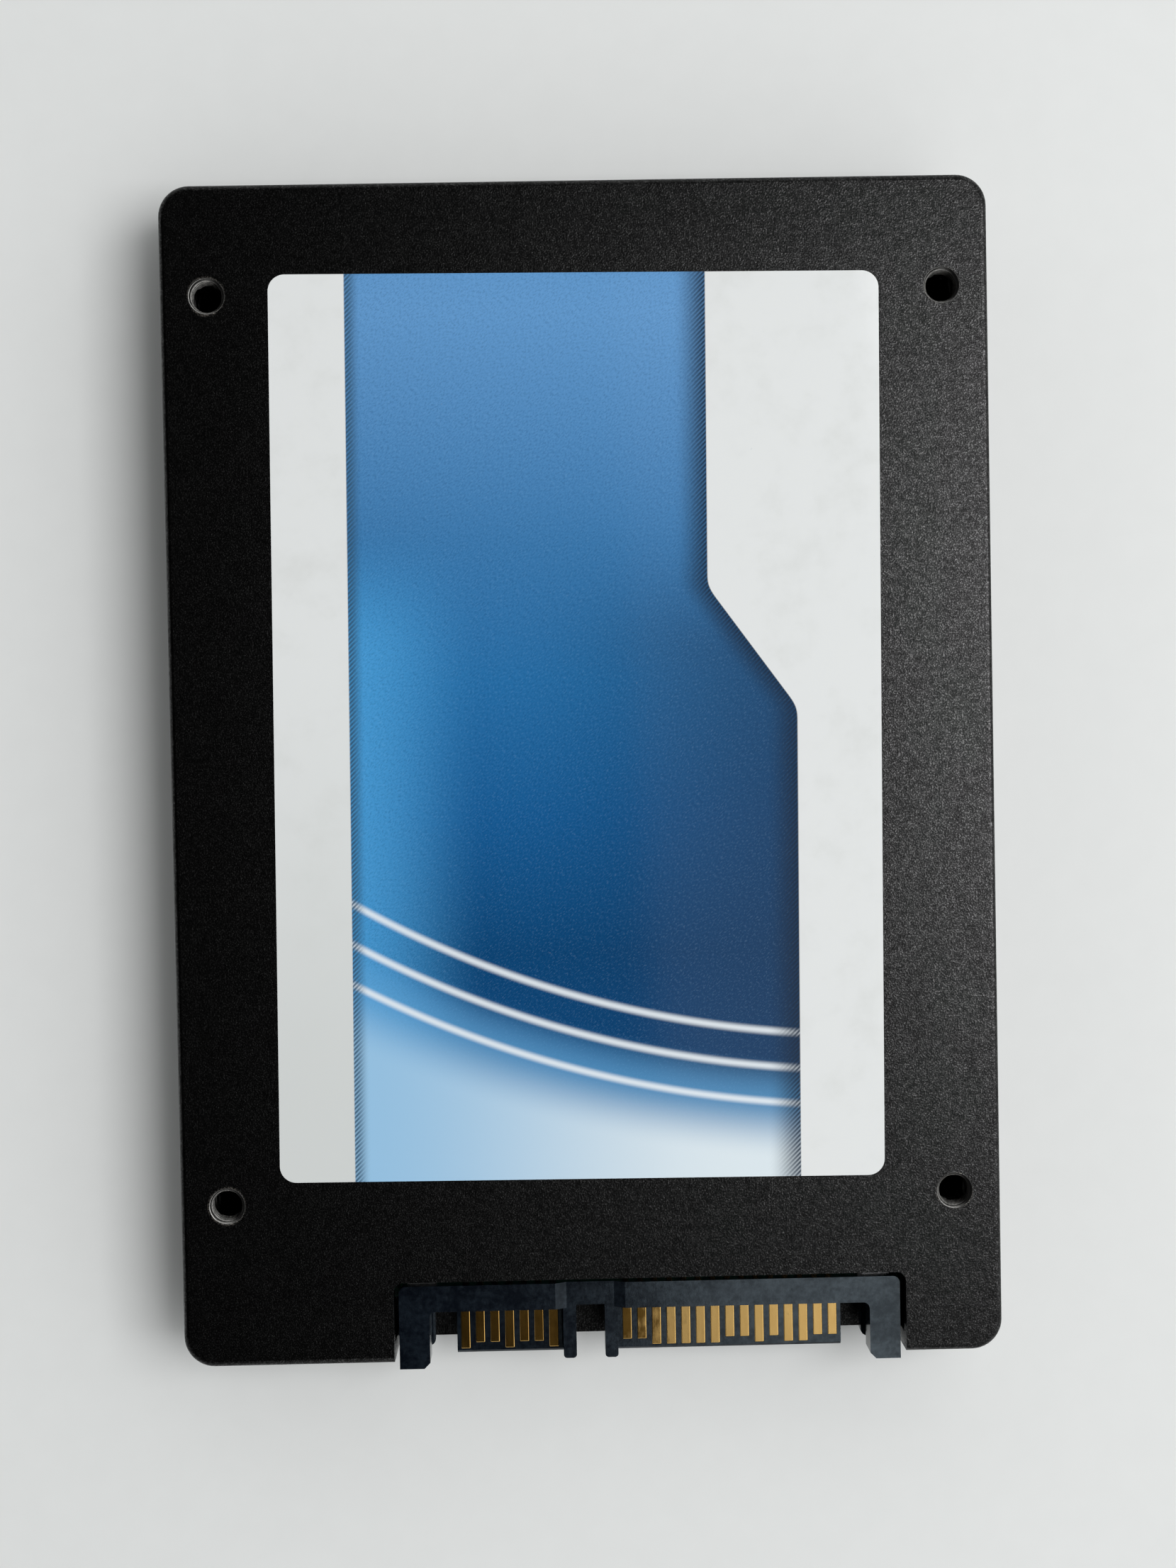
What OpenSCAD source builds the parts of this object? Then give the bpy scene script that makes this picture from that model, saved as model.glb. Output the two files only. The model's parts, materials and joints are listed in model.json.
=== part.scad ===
// Solid state drive, 2.5-inch form factor, lying on its back cover.
// The origin is the centre of the case's footprint, on the outside of the back cover.
// +Z points out of the mounting face, and +Y points away from the connector.

/* [Case] */
// Width of the case
body_w = 69.6; // [69.4:0.05:70.1]
// Length of the case, without the connector's guide posts
body_l = 99.6; // [99.4:0.1:100.4]
// Height from the back cover to the mounting face
body_h = 9.5; // [9.4:0.1:9.8]
// Radius of the case's four upright corners
corner_r = 2.6; // [2:0.1:3.2]
// Rounding of the edge around the mounting face
edge_r = 0.5; // [0.3:0.1:0.7]
// Thickness of the case's side walls
wall_t = 1.4; // [1.2:0.1:1.5]
// Thickness of the case's mounting face
face_t = 1.3; // [1.1:0.1:1.5]
// Thickness of the back cover
cover_t = 1.0; // [0.8:0.1:1.1]

/* [Mounting holes] */
// Distance between the mounting holes across the drive
mount_dx = 61.72; // [61.6:0.02:61.8]
// Distance between the mounting holes along the drive
mount_dy = 76.6; // [76.4:0.1:76.8]
// Distance from the connector end to the first mounting holes
mount_end = 13.7; // [13.5:0.1:14.1]
// Diameter of the M3 mounting holes
mount_d = 3.0; // [2.9:0.05:3.1]
// Depth of the holes in the mounting face
mount_depth = 5.0; // [4.5:0.1:5.2]
// Distance from the mounting face down to the side holes
side_drop = 3.0; // [2.9:0.05:3.1]
// Depth of the side holes, which break into the holes in the mounting face
side_depth = 4.2; // [4:0.1:4.4]

/* [Connector] */
// Offset of the connector's centre from the middle of the drive
plug_x = 4.8; // [4.6:0.05:5]
// Width of the connector housing over its guide posts
plug_w = 42.86; // [42.7:0.02:43]
// Depth of the contact surface below the mounting face
contact_drop = 3.5; // [3.3:0.05:3.7]
// Depth of the top of the housing below the mounting face
plug_drop = 1.1; // [1:0.05:1.3]
// Gap between the housing and each side of the case's cutout
plug_gap = 0.36; // [0.3:0.02:0.4]
// Gap behind the housing, between it and the case's cutout
plug_back_gap = 0.6; // [0.5:0.05:0.7]
// Distance between neighbouring contacts
pitch = 1.27; // [1.26:0.005:1.28]
// Width of one contact
contact_w = 0.8; // [0.76:0.02:0.86]
// Thickness of the tongues that carry the contacts
tongue_t = 1.23; // [1.15:0.02:1.3]

/* [Circuit board] */
// Thickness of the circuit board
board_t = 1.0; // [0.8:0.1:1.1]
// Height of the board's underside above the back cover's outside
board_z = 2.5; // [2.4:0.05:2.6]
// Gap between the board and the case walls
board_gap = 0.3; // [0.2:0.05:0.4]
// Width of one flash memory package
flash_w = 12; // [11:0.5:12.5]
// Length of one flash memory package
flash_l = 18; // [16:0.5:18.5]
// Height of one flash memory package
flash_h = 0.9; // [0.8:0.05:0.95]

/* [Labels] */
// Width of the label on the mounting face
label_w = 51.25; // [48:0.25:52]
// Length of the label on the mounting face
label_l = 76.4; // [72:0.2:77]
// Corner radius of both labels
label_r = 1.4; // [1:0.1:2]
// Thickness of both labels
label_t = 0.1; // [0.08:0.01:0.15]
// Angle by which the label sits crooked on the case
label_skew = -0.48; // [-0.6:0.02:0.6]
// Width of the label on the back cover
back_label_w = 54; // [50:1:56]
// Length of the label on the back cover
back_label_l = 72; // [68:1:76]

/* [Hidden] */
$fn = 48;
FLASH_NODES = [for (side = ["front", "back"], i = [1 : 8]) str("flash_chip_", side, "_", i)];

// Heights, all above the outside of the back cover
board_top = board_z + board_t;
ceiling_z = body_h - face_t;
plug_top = body_h - plug_drop;
contact_z = body_h - contact_drop;
tongue_z = contact_z - tongue_t;
side_hole_z = body_h - side_drop;

// The case
seam_w = 0.15;
cover_edge = 0.35;
edge_step = 22.5;
inner_w = body_w - 2 * wall_t;
block_w = 8;
block_l = 9;
block_z = board_top + 0.3;
lip_t = 0.8;
lip_h = 0.8;
lip_gap = 0.1;
label_sink = 0.05;
back_recess = label_t + label_sink;
label_gap = 0.3;
front_label_at = [-0.39, 53.6];
black = [0.05, 0.05, 0.055];

// How far a cut runs past the surface it opens, and how far joined pieces sink into each other
cut = 1;
lap = 0.5;

// Fasteners
case_screw_x = 31;
case_screw_y = 4.3;
case_boss_r = 2.5;
board_screw_x = 28;
board_screw_ys = [24.5, 85.5];
standoff_r = 2.4;
thread_r = 1.0;
screw_gap = 0.05;
clearance = 0.2;
head_sink = 0.1;
tip_gap = 0.5;
case_head_r = 1.75;
case_head_h = 0.75;
case_screw_l = 4.5;
board_head_r = 1.8;
board_head_h = 0.9;
board_head_edge = 0.15;
board_screw_l = 3.4;
recess_w = 0.32;
recess_depth = 0.5;

// The connector, with x counted from its own centre and y from the connector end
signal_pins = 7;
power_pins = 15;
signal_x0 = -12.5 * pitch;
power_x0 = signal_x0 + (signal_pins - 1) * pitch + 6.35;
short_signals = [1, 2, 4, 5];
short_powers = [0, 1, 7, 8, 10, 13, 14];
bar_y0 = 4.0;
bar_y1 = 6.22;
bar_corner_r = 0.6;
cutout_y = bar_y1 + plug_back_gap;
cutout_r = 0.8;
post_w = 2.6;
post_y0 = -0.85;
post_chamfer = 0.5;
post_fillet = 0.55;
post_under_z = board_top + 2.1;
foot_y0 = 0;
foot_reach = 0.27;
foot_z = board_z + 0.6;
foot_t = 1.2;
foot_r = 0.6;
foot_web_inset = 0.3;
tongue_y0 = -0.2;
tongue_x1 = 16.6;
tongue_bevel = 0.2;
rib_y0 = -0.34;
rib_w = 1.12;
rib_gap = 2.45;
rib_x = -4 * pitch;
rib_top = plug_top - 0.5;
rib_end_r = 0.3;
saddle_half = 2.04;
saddle_ramp = 0.94;
saddle_drop = 0.5;
saddle_y0 = bar_y0 + 0.25;
contact_t = 0.2;
contact_proud = 0.03;
long_y0 = 0.16;
short_y0 = 0.67;
tail_w = 0.5;
drop_y = 5.8;
tail_y = 8.8;
peg_x = 19.6;
peg_y = 5.3;
peg_r = 0.5;
peg_gap = 0.1;
hold_down_w = 2.4;
hold_down_h = 3;
hold_down_l = 2.2;
hold_down_t = 0.25;

// The board's chips, as [x, y] of the centre with y from the connector end
controller_at = [-6, 25];
controller_w = 14;
controller_h = 1.2;
pad_t = 0.5;
pad_margin = 0.5;
cache_at = [12, 25];
cache_size = [9, 11.5, 1];
firmware_at = [-22, 18];
firmware_size = [4, 5, 1.4];
firmware_lift = 0.1;
lead_w = 0.4;
lead_z = 0.55;
inductor_at = [[21, 12], [15, 12]];
inductor_w = 4;
inductor_base_h = 0.5;
inductor_r = 1.9;
inductor_h = 1.9;
regulator_at = [[21, 16.6], [15, 16.6]];
regulator_size = [3, 3, 0.85];
bulk_at = [[-21.5, 88.5], [-12.5, 88.5]];
diode_at = [7.5, 12];
fuse_at = [2.5, 12];
crystal_at = [-18.5, 26.5];
flash_xs = [-22.5, -7.5, 7.5, 22.5];
flash_ys = [50, 71.5];
flash_mid_y = (flash_ys[0] + flash_ys[1]) / 2;
capacitor_size = [1.6, 0.8, 0.8];
capacitor_step = 2.4;
resistor_size = [1, 0.5, 0.35];
resistor_step = 1.6;

// Moves children from the connector end's frame into the part's frame
module from_end() {
    translate([0, -body_l / 2, 0]) children();
}

// A box given by its two corners
module block(low, high) {
    translate(low) cube(high - low);
}

// Rounded plate whose edge follows a profile of [inset, z] points, from the bottom up
module profiled_plate(w, l, r, profile) {
    half_x = w / 2 - r;
    half_y = l / 2 - r;
    for (sx = [-1, 1], sy = [-1, 1])
        translate([sx * half_x, sy * half_y, 0])
            rotate_extrude($fn = 64) half_section(r, profile);
    rotate([90, 0, 90]) translate([0, 0, -half_x])
        linear_extrude(2 * half_x) full_section(l / 2, profile);
    rotate([90, 0, 0]) translate([0, 0, -half_y])
        linear_extrude(2 * half_y) full_section(w / 2, profile);
}

// Section from the middle out to half, less the profile's insets
module half_section(half, profile) {
    last = len(profile) - 1;
    polygon(concat([[0, profile[0][1]]], [for (p = profile) [half - p[0], p[1]]],
                   [[0, profile[last][1]]]));
}

module full_section(half, profile) {
    last = len(profile) - 1;
    polygon(concat([for (p = profile) [half - p[0], p[1]]],
                   [for (i = [last : -1 : 0]) [profile[i][0] - half, profile[i][1]]]));
}

module rounded_plate(w, l, r, z0, z1) {
    profiled_plate(w, l, r, [[0, z0], [0, z1]]);
}

// The four places of the screws that hold the cover to the case
module at_case_screws() {
    for (sx = [-1, 1], y = [case_screw_y, body_l - case_screw_y])
        translate([sx * case_screw_x, y, 0]) children();
}

// The four places of the screws that hold the board
module at_board_screws() {
    for (sx = [-1, 1], y = board_screw_ys)
        translate([sx * board_screw_x, y, 0]) children();
}

// The four mounting positions, at the holes' axes
module at_mounts() {
    for (sx = [-1, 1], y = [mount_end, mount_end + mount_dy])
        translate([sx * mount_dx / 2, y, 0]) children();
}

// Cutout in the case for the connector, open at the connector end
module connector_cutout(z0, z1) {
    from_end() translate([plug_x, 0, 0])
        round_backed(plug_w / 2 + plug_gap, -cut, cutout_y, cutout_r, z0, z1);
}

// Block from y0 to y1 and half wide each way, with its two upright corners at y1 rounded
module round_backed(half, y0, y1, r, z0, z1) {
    block([-half, y0, z0], [half, y1 - r, z1]);
    block([-half + r, y0, z0], [half - r, y1, z1]);
    for (sx = [-1, 1])
        translate([sx * (half - r), y1 - r, z0]) cylinder(r = r, h = z1 - z0, $fn = 32);
}

// Die-cast upper case: mounting face, side walls, screw bosses and heat pedestal
module case_shell() {
    edge = [for (a = [0 : edge_step : 90])
            [edge_r * (1 - cos(a)), body_h - edge_r * (1 - sin(a))]];
    color(black) difference() {
        union() {
            difference() {
                profiled_plate(body_w, body_l, corner_r,
                               concat([[seam_w, cover_t], [0, cover_t + seam_w]], edge));
                from_end() block([-inner_w / 2, wall_t, cover_t - cut],
                                 [inner_w / 2, body_l - wall_t, ceiling_z]);
            }
            from_end() {
                for (sx = [-1, 1], y = [mount_end, mount_end + mount_dy])
                    translate([sx * (inner_w / 2 - block_w / 2 + lap), y, 0])
                        block([-block_w / 2, -block_l / 2, block_z],
                              [block_w / 2, block_l / 2, ceiling_z + lap]);
                at_case_screws() translate([0, 0, cover_t])
                    cylinder(r = case_boss_r, h = ceiling_z + lap - cover_t);
                at_board_screws() translate([0, 0, board_top])
                    cylinder(r = standoff_r, h = ceiling_z + lap - board_top);
                translate([controller_at.x, controller_at.y, 0])
                    block([-controller_w / 2, -controller_w / 2, board_top + controller_h + pad_t],
                          [controller_w / 2, controller_w / 2, ceiling_z + lap]);
            }
        }
        connector_cutout(-cut, body_h + cut);
        from_end() {
            at_mounts() translate([0, 0, body_h - mount_depth])
                cylinder(d = mount_d, h = mount_depth + cut);
            for (sx = [-1, 1], y = [mount_end, mount_end + mount_dy])
                translate([sx * body_w / 2, y, side_hole_z]) rotate([0, -sx * 90, 0])
                    translate([0, 0, -cut]) cylinder(d = mount_d, h = side_depth + cut);
            at_case_screws() translate([0, 0, -cut])
                cylinder(r = thread_r, h = cut + cover_t + case_screw_l);
            at_board_screws() translate([0, 0, board_z])
                cylinder(r = thread_r, h = board_t + board_screw_l);
        }
    }
}

// Flat back cover with a locating lip, countersunk holes and a recess for its label
module back_cover() {
    lip_x1 = inner_w / 2 - lip_gap;
    lip_y0 = mount_end + block_l / 2;
    lip_end_y1 = body_l - wall_t - lip_gap;
    lip_end_x = case_screw_x - case_boss_r - 1;
    lip_z = cover_t - lap / 2;
    sink_r = case_head_r + clearance;
    color([0.07, 0.07, 0.075]) difference() {
        union() {
            profiled_plate(body_w, body_l, corner_r,
                           [[cover_edge, 0], [0, cover_edge], [0, cover_t]]);
            from_end() {
                for (sx = [-1, 1])
                    translate([sx * (lip_x1 - lip_t / 2), 0, 0])
                        block([-lip_t / 2, lip_y0, lip_z],
                              [lip_t / 2, body_l - lip_y0, cover_t + lip_h]);
                block([-lip_end_x, lip_end_y1 - lip_t, lip_z],
                      [lip_end_x, lip_end_y1, cover_t + lip_h]);
            }
        }
        rounded_plate(back_label_w + 2 * label_gap, back_label_l + 2 * label_gap, label_r,
                      -cut, back_recess);
        from_end() at_case_screws() {
            translate([0, 0, -cut]) cylinder(r = thread_r + clearance, h = cover_t + 2 * cut);
            translate([0, 0, -cut]) cylinder(r = sink_r, h = cut + head_sink);
            translate([0, 0, head_sink])
                cylinder(r1 = sink_r, r2 = thread_r + clearance, h = case_head_h);
        }
    }
}

// Printed label on the mounting face
module front_label() {
    color([0.92, 0.93, 0.94])
        from_end() translate(front_label_at) rotate([0, 0, label_skew])
            rounded_plate(label_w, label_l, label_r, body_h, body_h + label_t);
}

// Label in the back cover's recess
module back_label() {
    color([0.92, 0.92, 0.9])
        rounded_plate(back_label_w, back_label_l, label_r, back_recess - label_t, back_recess);
}

// Cross-shaped driver recess, cut upwards from z = 0
module cross_recess(size) {
    for (a = [0, 90])
        rotate([0, 0, a])
            block([-size / 2, -recess_w / 2, -cut], [size / 2, recess_w / 2, recess_depth]);
}

// Four countersunk screws through the cover into the case's corner bosses
module case_screws() {
    color([0.16, 0.16, 0.17]) from_end() at_case_screws() translate([0, 0, head_sink]) difference() {
        union() {
            cylinder(r1 = case_head_r, r2 = thread_r - screw_gap, h = case_head_h);
            cylinder(r = thread_r - screw_gap, h = case_screw_l + cover_t - tip_gap);
        }
        cross_recess(case_head_r);
    }
}

// Four pan-head screws through the board into the case's standoffs
module board_screws() {
    color([0.7, 0.7, 0.72]) from_end() at_board_screws()
        translate([0, 0, board_z - board_head_h]) difference() {
            union() {
                cylinder(r = board_head_r - board_head_edge, h = board_head_edge);
                translate([0, 0, board_head_edge])
                    cylinder(r = board_head_r, h = board_head_h - board_head_edge);
                cylinder(r = thread_r - screw_gap,
                         h = board_head_h + board_t + board_screw_l - 1.2 * tip_gap);
            }
            cross_recess(board_head_r);
        }
}

// Bare circuit board, notched around the case's corner bosses
module circuit_board() {
    half = inner_w / 2 - board_gap;
    boss_notch_r = case_boss_r + 2 * clearance;
    notch_w = body_w / 2 - case_screw_x + boss_notch_r - lap;
    notch_l = case_screw_y + boss_notch_r - lap;
    through = board_t + 2 * cut;
    color([0.05, 0.3, 0.16]) from_end() difference() {
        block([-half, bar_y0 + clearance, board_z], [half, body_l - wall_t - board_gap, board_top]);
        translate([0, 0, board_z - cut]) {
            at_case_screws() cylinder(r = boss_notch_r, h = through);
            for (sx = [-1, 1], y = [0, body_l])
                translate([sx * body_w / 2, y, 0])
                    block([-notch_w, -notch_l, 0], [notch_w, notch_l, through]);
            at_board_screws() cylinder(r = thread_r + clearance / 2, h = through);
            for (sx = [-1, 1])
                translate([plug_x + sx * peg_x, peg_y, 0])
                    cylinder(r = peg_r + screw_gap, h = through, $fn = 32);
        }
    }
}

// One contact, from its start at y0: a blade on the tongue, a drop and a solder foot on the board
module contact(x, y0) {
    z1 = contact_z + contact_proud;
    translate([x, 0, 0]) {
        block([-contact_w / 2, y0, z1 - contact_t], [contact_w / 2, drop_y, z1]);
        block([-tail_w / 2, drop_y - contact_t, board_top], [tail_w / 2, drop_y, z1]);
        block([-tail_w / 2, drop_y - contact_t, board_top],
              [tail_w / 2, tail_y, board_top + contact_t]);
    }
}

// A row of contacts from x0, where the numbered ones in shorts start further in
module contact_row(x0, pins, shorts) {
    for (i = [0 : pins - 1])
        contact(x0 + i * pitch, len(search(i, shorts)) > 0 ? short_y0 : long_y0);
}

module signal_contacts() {
    color([0.78, 0.58, 0.25]) from_end() translate([plug_x, 0, 0])
        contact_row(signal_x0, signal_pins, short_signals);
}

module power_contacts() {
    color([0.83, 0.63, 0.3]) from_end() translate([plug_x, 0, 0])
        contact_row(power_x0, power_pins, short_powers);
}

// Tongue between two x values, with a bevelled leading edge
module tongue(x0, x1) {
    bevel_y = tongue_y0 + tongue_bevel;
    translate([x0, 0, 0]) rotate([90, 0, 90]) linear_extrude(x1 - x0)
        polygon([[bevel_y, tongue_z], [bar_y0 + lap, tongue_z],
                 [bar_y0 + lap, contact_z], [bevel_y, contact_z],
                 [tongue_y0, contact_z - tongue_bevel], [tongue_y0, tongue_z + tongue_bevel]]);
}

// Key wall at a tongue's inner end, rounded at its tip
module key_rib(x0) {
    block([x0, rib_y0 + rib_end_r, tongue_z], [x0 + rib_w, bar_y0 + lap, rib_top]);
    block([x0 + rib_end_r, rib_y0, tongue_z], [x0 + rib_w - rib_end_r, bar_y0, rib_top]);
    for (x = [x0 + rib_end_r, x0 + rib_w - rib_end_r])
        translate([x, rib_y0 + rib_end_r, tongue_z])
            cylinder(r = rib_end_r, h = rib_top - tongue_z, $fn = 32);
}

// Guide post on the +x end: an upper arm with a bevelled tip over a thicker foot
module guide_post() {
    x0 = plug_w / 2 - post_w;
    x1 = plug_w / 2;
    arm_h = plug_top - post_under_z;
    foot_x0 = x0 - foot_reach;
    foot_y1 = bar_y0 + clearance / 2;
    foot_z1 = foot_z + foot_t;
    translate([0, 0, post_under_z]) linear_extrude(arm_h)
        polygon([[x1, post_y0], [x1, bar_y0 + lap], [x0, bar_y0 + lap],
                 [x0, post_y0 + post_chamfer], [x0 + post_chamfer, post_y0]]);
    // Fillet in the corner between the arm and the bar
    difference() {
        block([x0 - post_fillet, bar_y0 - post_fillet, post_under_z], [x0 + lap, bar_y0 + lap, plug_top]);
        translate([x0 - post_fillet, bar_y0 - post_fillet, post_under_z - cut])
            cylinder(r = post_fillet, h = arm_h + 2 * cut, $fn = 32);
    }
    block([foot_x0, foot_y0 + foot_r, foot_z], [x1, foot_y1, foot_z1]);
    block([foot_x0 + foot_r, foot_y0, foot_z], [x1, foot_y1, foot_z1]);
    translate([foot_x0 + foot_r, foot_y0 + foot_r, foot_z])
        cylinder(r = foot_r, h = foot_t, $fn = 32);
    block([x0 + foot_web_inset, foot_y0, foot_z], [x1, foot_y1, post_under_z + lap]);
}

// Moulded connector body: back bar, guide posts, two keyed tongues and locating pegs
module connector_housing() {
    ramp_x = saddle_half + saddle_ramp;
    saddle_z = plug_top - saddle_drop;
    color([0.05, 0.06, 0.085]) from_end() translate([plug_x, 0, 0]) difference() {
        union() {
            round_backed(plug_w / 2, bar_y0, bar_y1, bar_corner_r, board_top, plug_top);
            guide_post();
            mirror([1, 0, 0]) guide_post();
            tongue(-tongue_x1, rib_x - rib_gap / 2 - lap);
            tongue(rib_x + rib_gap / 2 + lap, tongue_x1);
            key_rib(rib_x - rib_gap / 2 - rib_w);
            key_rib(rib_x + rib_gap / 2);
            for (sx = [-1, 1])
                translate([sx * peg_x, peg_y, board_z + peg_gap])
                    cylinder(r = peg_r, h = board_t + peg_gap, $fn = 32);
        }
        // Lowered saddle between the two tongues
        translate([rib_x, bar_y1 + cut, 0]) rotate([90, 0, 0])
            linear_extrude(bar_y1 - bar_y0 + 2 * cut)
                polygon([[-ramp_x, plug_top], [-ramp_x, plug_top + cut], [ramp_x, plug_top + cut],
                         [ramp_x, plug_top], [saddle_half, saddle_z], [-saddle_half, saddle_z]]);
        block([rib_x - rib_gap / 2, bar_y0 - cut, board_z],
              [rib_x + rib_gap / 2, saddle_y0, plug_top]);
        // Room for the contacts
        contact_row(signal_x0, signal_pins, short_signals);
        contact_row(power_x0, power_pins, short_powers);
    }
}

// Two solder clips that hold the housing's ends to the board
module connector_hold_downs() {
    color([0.75, 0.75, 0.76]) from_end() translate([plug_x, 0, 0]) for (sx = [-1, 1])
        translate([sx * peg_x, bar_y1, board_top]) {
            block([-hold_down_w / 2, 0, 0], [hold_down_w / 2, hold_down_t, hold_down_h]);
            block([-hold_down_w / 2, 0, 0], [hold_down_w / 2, hold_down_l, hold_down_t]);
        }
}

// A box centred in x and y that stands on z = 0
module chip_block(size) {
    translate([-size.x / 2, -size.y / 2, 0]) cube(size);
}

// A moulded package standing on z = 0, with an index dot near its corner
module package(size) {
    dot_inset = 1;
    dot_r = 0.4;
    dot_depth = 0.08;
    difference() {
        chip_block(size);
        translate([dot_inset - size.x / 2, size.y / 2 - dot_inset, size.z - dot_depth])
            cylinder(r = dot_r, h = cut, $fn = 24);
    }
}

// Puts children on the board's front at a place
module on_front(at) {
    from_end() translate([at.x, at.y, board_top]) children();
}

// Puts children upside down on the board's back at a place
module on_back(at) {
    from_end() translate([at.x, at.y, board_z]) rotate([0, 180, 0]) children();
}

module controller_chip() {
    color([0.1, 0.1, 0.11]) on_front(controller_at)
        package([controller_w, controller_w, controller_h]);
}

module controller_thermal_pad() {
    w = controller_w - 2 * pad_margin;
    color([0.6, 0.65, 0.7]) on_front(controller_at)
        translate([0, 0, controller_h]) chip_block([w, w, pad_t]);
}

module cache_memory_chip() {
    color([0.1, 0.1, 0.11]) on_front(cache_at) package(cache_size);
}

// Eight-lead package with its gull-wing leads down both sides
module firmware_chip() {
    half = firmware_size.x / 2;
    knee = half + 0.7;
    toe = half + 1.2;
    on_front(firmware_at) {
        color([0.1, 0.1, 0.11]) translate([0, 0, firmware_lift]) package(firmware_size);
        color([0.75, 0.75, 0.76]) for (a = [0, 180], i = [-1.5 : 1.5])
            rotate([0, 0, a]) translate([0, i * pitch - lead_w / 2, 0]) {
                block([half - 0.1, 0, lead_z], [knee + 0.2, lead_w, lead_z + 0.2]);
                block([knee, 0, 0], [knee + 0.2, lead_w, lead_z + 0.2]);
                block([knee, 0, 0], [toe, lead_w, 0.15]);
            }
    }
}

// Flash package by its place: 0 to 7 on the board's front, 8 to 15 on its back
module flash_chip(place) {
    at = [flash_xs[place % 4], flash_ys[floor(place / 4) % 2]];
    size = [flash_w, flash_l, flash_h];
    color([0.09, 0.09, 0.1])
        if (place < 8) on_front(at) package(size);
        else on_back(at) package(size);
}

// Soft pad that carries heat from the back's flash packages to the cover
module flash_thermal_pad() {
    size = [2 * flash_xs[3] + flash_w - 2 * pad_margin,
            flash_ys[1] - flash_ys[0] + flash_l - 2 * pad_margin,
            board_z - flash_h - cover_t];
    color([0.6, 0.65, 0.7]) from_end() translate([0, flash_mid_y, cover_t]) chip_block(size);
}

// Shielded coil with a round ferrite top in a square base
module power_inductor(at) {
    top_z = inductor_base_h - 0.1;
    color([0.25, 0.25, 0.26]) on_front(at) {
        chip_block([inductor_w, inductor_w, inductor_base_h]);
        translate([0, 0, top_z]) cylinder(r = inductor_r, h = inductor_h - top_z);
    }
}

module voltage_regulator(at) {
    color([0.1, 0.1, 0.11]) on_front(at) package(regulator_size);
}

module surge_diode() {
    color([0.1, 0.1, 0.11]) on_front(diode_at) {
        translate([0, 0, 0.1]) chip_block([2.6, 3.6, 1]);
        for (sy = [-1, 1])
            translate([0, sy * 2, 0]) chip_block([1.6, 1, 0.3]);
    }
}

module input_fuse() {
    color([0.85, 0.85, 0.82]) on_front(fuse_at) {
        chip_block([1.6, 2.4, 0.6]);
        for (sy = [-1, 1])
            translate([0, sy * 1.4, 0]) chip_block([1.6, 0.6, 0.7]);
    }
}

module clock_crystal() {
    color([0.78, 0.78, 0.76]) on_front(crystal_at) {
        chip_block([3.2, 2.5, 0.5]);
        translate([0, 0, 0.4]) chip_block([2.8, 2.1, 0.35]);
    }
}

// Moulded tantalum capacitor with its two end terminals
module bulk_capacitor(at) {
    color([0.75, 0.55, 0.15]) on_front(at) {
        translate([0, 0, 0.15]) chip_block([6.8, 4.3, 1.7]);
        for (sx = [-1, 1])
            translate([sx * 3.2, 0, 0]) chip_block([0.9, 2.4, 1]);
    }
}

// Decoupling capacitors in rows around the controller and the flash packages
module ceramic_capacitors() {
    row_x0 = -2.5 * capacitor_step;
    color([0.62, 0.5, 0.38]) {
        for (i = [0 : 5], y = [-9, 9])
            on_front(controller_at + [row_x0 + i * capacitor_step, y]) chip_block(capacitor_size);
        for (x = flash_xs, s = [-1.5, 1.5], y = [flash_mid_y, flash_ys[0] - flash_l / 2 - 1.6])
            on_front([x + s, y]) chip_block(capacitor_size);
    }
}

// Small resistors beside the controller, the memory and the connector
module chip_resistors() {
    column_y0 = -3.5 * resistor_step;
    end_on = [resistor_size.y, resistor_size.x, resistor_size.z];
    color([0.12, 0.12, 0.13]) {
        for (i = [0 : 7], x = [-9, 9])
            on_front(controller_at + [x, column_y0 + i * resistor_step]) chip_block(resistor_size);
        for (i = [0 : 5])
            on_front([plug_x + signal_x0 + (i + 0.5) * pitch, 11]) chip_block(end_on);
    }
}

case_shell();
back_cover();
front_label();
back_label();
case_screws();
circuit_board();
board_screws();
connector_housing();
signal_contacts();
power_contacts();
connector_hold_downs();
controller_chip();
controller_thermal_pad();
cache_memory_chip();
firmware_chip();
voltage_regulator(regulator_at[0]);  // voltage_regulator_1
voltage_regulator(regulator_at[1]);  // voltage_regulator_2
power_inductor(inductor_at[0]);  // power_inductor_1
power_inductor(inductor_at[1]);  // power_inductor_2
surge_diode();
input_fuse();
clock_crystal();
bulk_capacitor(bulk_at[0]);  // bulk_capacitor_1
bulk_capacitor(bulk_at[1]);  // bulk_capacitor_2
ceramic_capacitors();
chip_resistors();
flash_thermal_pad();
for (i = [0 : 15])
    flash_chip(i);
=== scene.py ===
# Looks of a 2.5-inch solid state drive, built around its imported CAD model.
# Lengths are metres in the row frame, unless a name ends in _mm or _MM or a docstring says otherwise.
import json
import math
import random

import bmesh
import bpy
from mathutils import Matrix, Vector


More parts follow.
